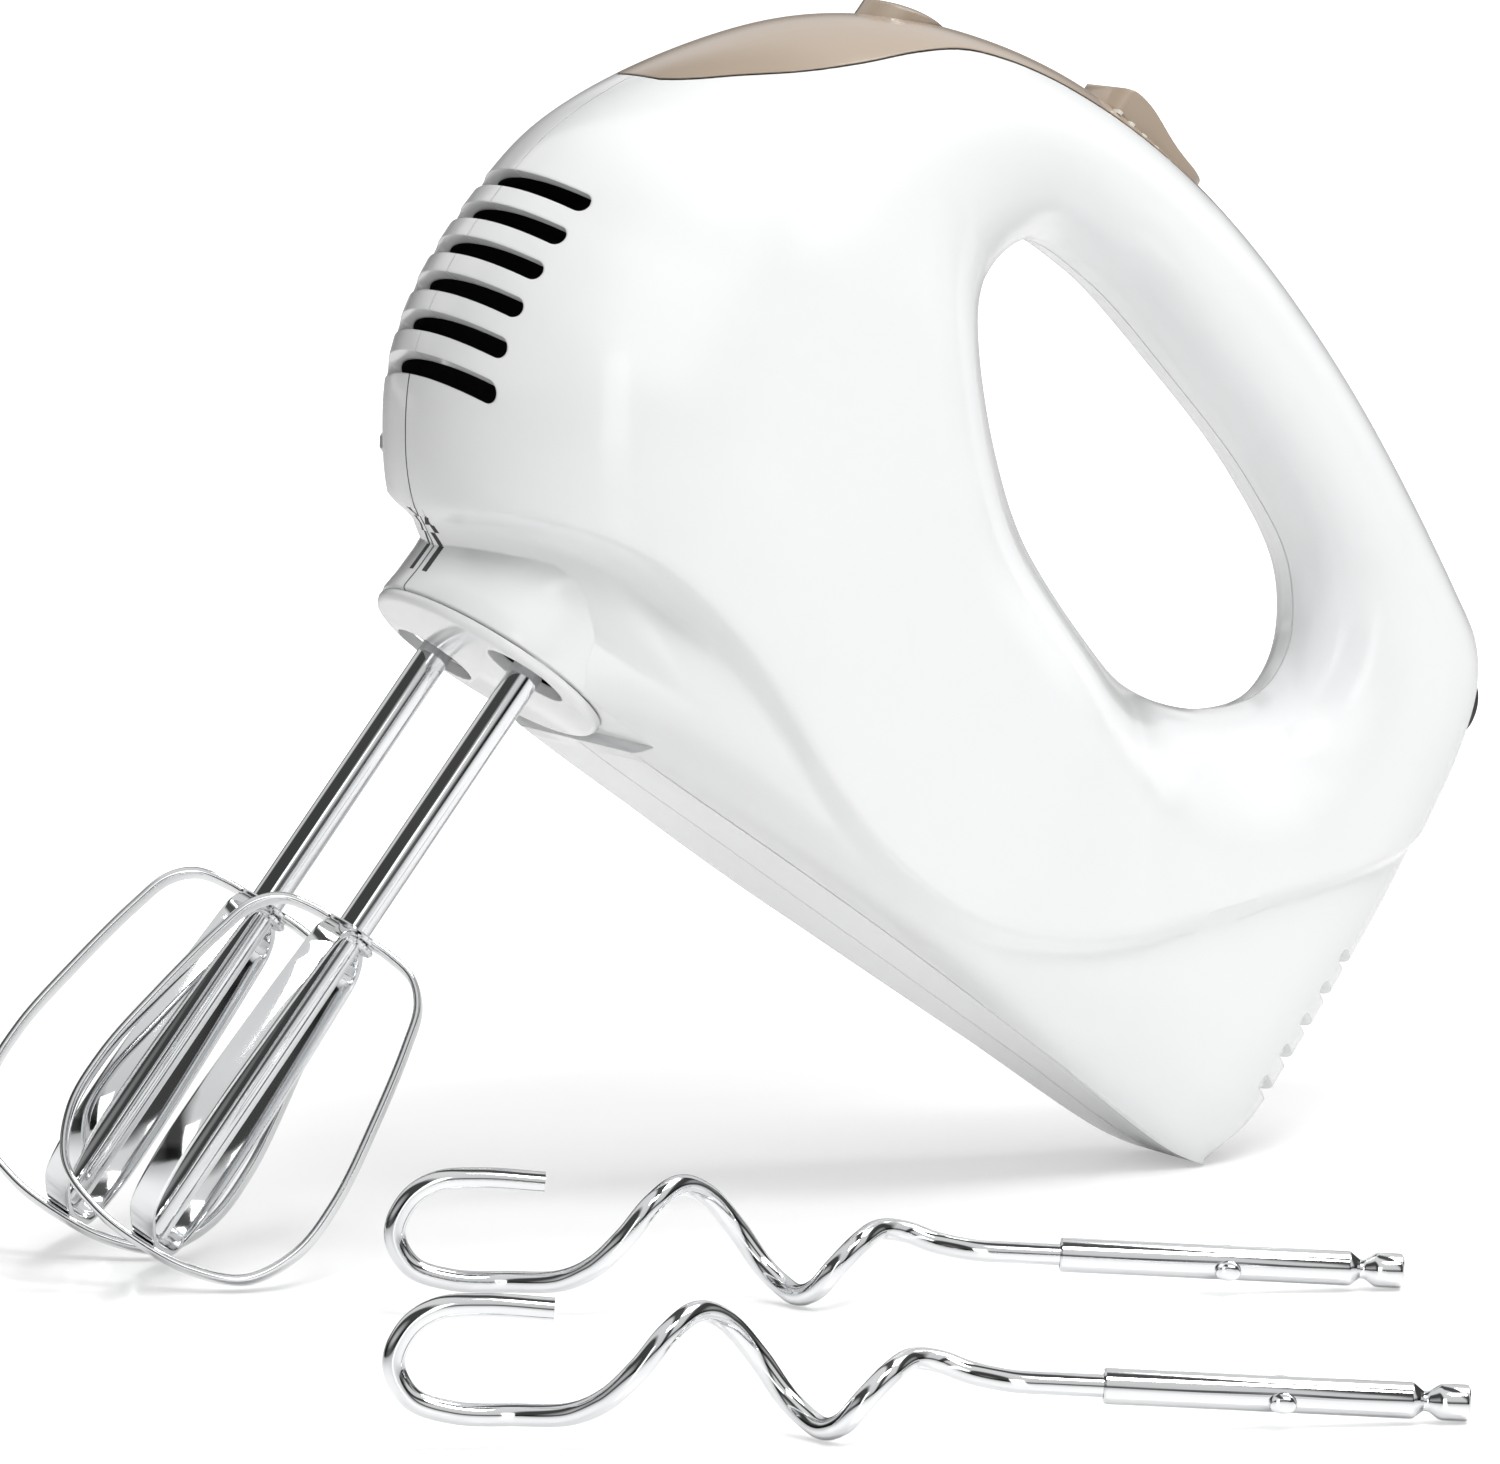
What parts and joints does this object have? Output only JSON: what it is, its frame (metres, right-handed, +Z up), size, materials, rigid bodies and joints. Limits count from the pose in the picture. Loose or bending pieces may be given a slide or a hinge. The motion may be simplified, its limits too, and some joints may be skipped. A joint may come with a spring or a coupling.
{
  "type": "hand mixer",
  "caption": "Electric hand mixer with looped handle, ribbon beaters and loose dough hooks; geared motor, speed slider and eject button work.",
  "frame": {"origin": "middle of the bounding box's underside, on the floor", "axes": "+Z up; +X runs from the beaters to the heel of the leaning mixer; -Y is the side where the dough hooks lie"},
  "size_m": [0.2762, 0.2722, 0.1963],
  "materials": {
    "white_shell": "high gloss moulded",
    "taupe_cover": "gloss moulded",
    "black_rubber": "matt",
    "screw_steel": "zinc plated",
    "lamination_steel": "stacked sheet",
    "shaft_steel": "ground",
    "copper_winding": "enamelled wire",
    "commutator_copper": "turned",
    "bronze_bearing": "sintered",
    "nylon": "moulded",
    "black_plastic": "moulded",
    "carbon": "pressed carbon",
    "chrome_wire": "polished chrome plate"
  },
  "bodies": {
    "mixer_body": {"housing_left": "white_shell", "housing_right": "white_shell", "top_cover": "taupe_cover", "collar_plate": "white_shell", "cord_gland": "black_rubber", "housing_screw_1": "screw_steel", "housing_screw_2": "screw_steel", "housing_screw_3": "screw_steel", "housing_screw_4": "screw_steel", "housing_screw_5": "screw_steel", "stator_core": "lamination_steel", "bearing_front": "bronze_bearing", "bearing_rear": "bronze_bearing", "gear_frame": "nylon", "rear_bracket": "nylon", "ejector_spring": "shaft_steel", "switch_block": "black_plastic", "field_coil_left": "copper_winding", "brush_holder_left": "bronze_bearing", "carbon_brush_left": "carbon", "brush_spring_left": "shaft_steel", "spindle_bush_left": "bronze_bearing", "field_coil_right": "copper_winding", "brush_holder_right": "bronze_bearing", "carbon_brush_right": "carbon", "brush_spring_right": "shaft_steel", "spindle_bush_right": "bronze_bearing"},
    "rotor": {"motor_shaft": "shaft_steel", "armature_core": "lamination_steel", "winding_front": "copper_winding", "winding_rear": "copper_winding", "commutator": "commutator_copper", "cooling_fan": "black_plastic"},
    "spindle_left": {"worm_gear_left": "nylon", "spindle_clip_left": "shaft_steel"},
    "spindle_right": {"worm_gear_right": "nylon", "spindle_clip_right": "shaft_steel"},
    "beater_left": {"beater_left_shaft": "chrome_wire", "beater_left_loop_a": "chrome_wire", "beater_left_loop_b": "chrome_wire"},
    "beater_right": {"beater_right_shaft": "chrome_wire", "beater_right_loop_a": "chrome_wire", "beater_right_loop_b": "chrome_wire"},
    "ejector": {"eject_button": "taupe_cover", "ejector_fork": "nylon"},
    "speed_control": {"speed_slider": "taupe_cover", "switch_wiper": "bronze_bearing"},
    "hook_1": {"hook_1_wire": "chrome_wire", "hook_1_sleeve": "chrome_wire"},
    "hook_2": {"hook_2_wire": "chrome_wire", "hook_2_sleeve": "chrome_wire"}
  },
  "joints": [
    {"name": "motor_spin", "type": "hinge", "parent": "mixer_body", "child": "rotor", "pos_m": [-0.02002, 0.09477, 0.12359], "axis": [0.7743, 0, -0.6328], "continuous": true},
    {"name": "spindle_left_spin", "type": "hinge", "parent": "mixer_body", "child": "spindle_left", "pos_m": [-0.02002, 0.07747, 0.12359], "axis": [0.6328, 0, 0.7743], "continuous": true},
    {"name": "spindle_right_spin", "type": "hinge", "parent": "mixer_body", "child": "spindle_right", "pos_m": [-0.02002, 0.11207, 0.12359], "axis": [0.6328, 0, 0.7743], "continuous": true},
    {"name": "eject_press", "type": "slide", "parent": "mixer_body", "child": "ejector", "axis": [-0.6328, 0, -0.7743], "range_m": [0, 0.006], "stiffness_N_per_m": 400, "springref_m": -0.01, "deforming": ["ejector_spring"]},
    {"name": "beater_left_eject", "type": "slide", "parent": "spindle_left", "child": "beater_left", "axis": [-0.6328, 0, -0.7743], "range_m": [0, 0.006]},
    {"name": "beater_right_eject", "type": "slide", "parent": "spindle_right", "child": "beater_right", "axis": [-0.6328, 0, -0.7743], "range_m": [0, 0.006]},
    {"name": "speed_slide", "type": "slide", "parent": "mixer_body", "child": "speed_control", "axis": [0.7222, 0, -0.6916], "range_m": [0, 0.015]},
    {"name": "hook_1_lift", "type": "slide", "parent": "mixer_body", "child": "hook_1", "axis": [0, 0, 1], "range_m": [0, 0.1]},
    {"name": "hook_2_lift", "type": "slide", "parent": "mixer_body", "child": "hook_2", "axis": [0, 0, 1], "range_m": [0, 0.1]}
  ],
  "couplings": [
    {"joint": "spindle_left_spin", "follows": "motor_spin", "ratio": -0.04},
    {"joint": "spindle_right_spin", "follows": "motor_spin", "ratio": 0.04},
    {"joint": "beater_left_eject", "follows": "eject_press", "ratio": 1},
    {"joint": "beater_right_eject", "follows": "eject_press", "ratio": 1}
  ]
}
